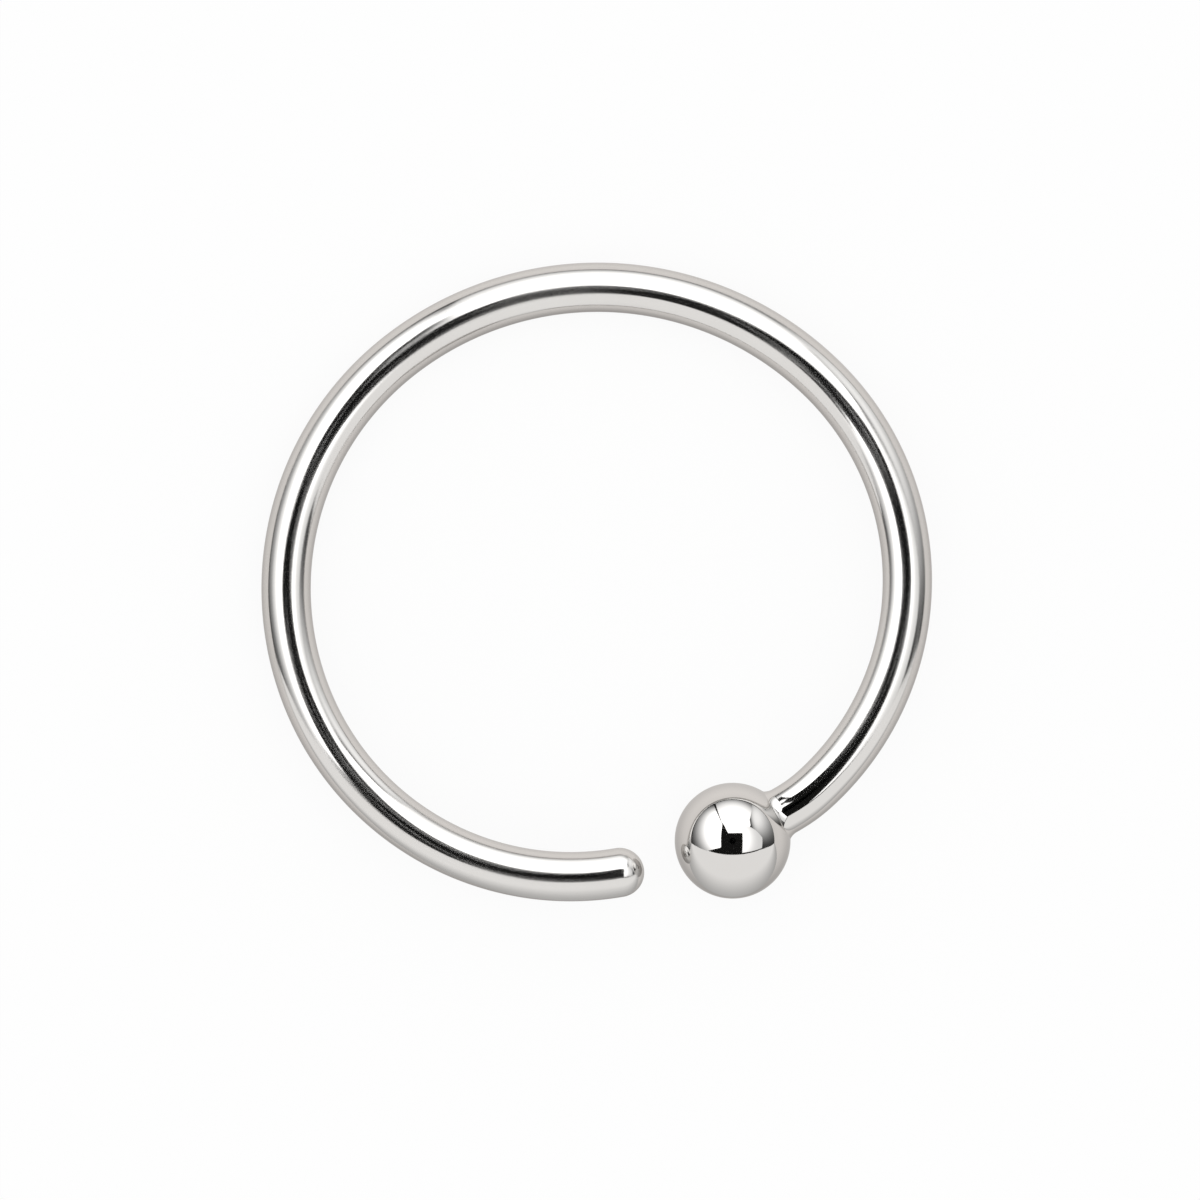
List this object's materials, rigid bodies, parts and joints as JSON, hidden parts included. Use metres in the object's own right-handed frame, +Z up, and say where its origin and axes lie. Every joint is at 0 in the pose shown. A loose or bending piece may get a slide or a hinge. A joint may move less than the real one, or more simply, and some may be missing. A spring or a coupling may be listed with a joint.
{
  "type": "ball-end septum ring",
  "caption": "Open round-wire hoop for a pierced septum, with a rounded free end that goes through the piercing and a ball at the other end that stops it from slipping out.",
  "frame": {"origin": "on the surface that the hoop lies on, below the middle of its box seen from above", "axes": "+Z up, out of the surface; +X and +Y along the surface, with the gap towards -Y and the ball towards +X and -Y, so that the hoop is widest along X"},
  "size_m": [0.011, 0.0104, 0.0019],
  "materials": {
    "polished_steel": "polished"
  },
  "bodies": {
    "root": {"hoop": "polished_steel"}
  },
  "joints": []
}
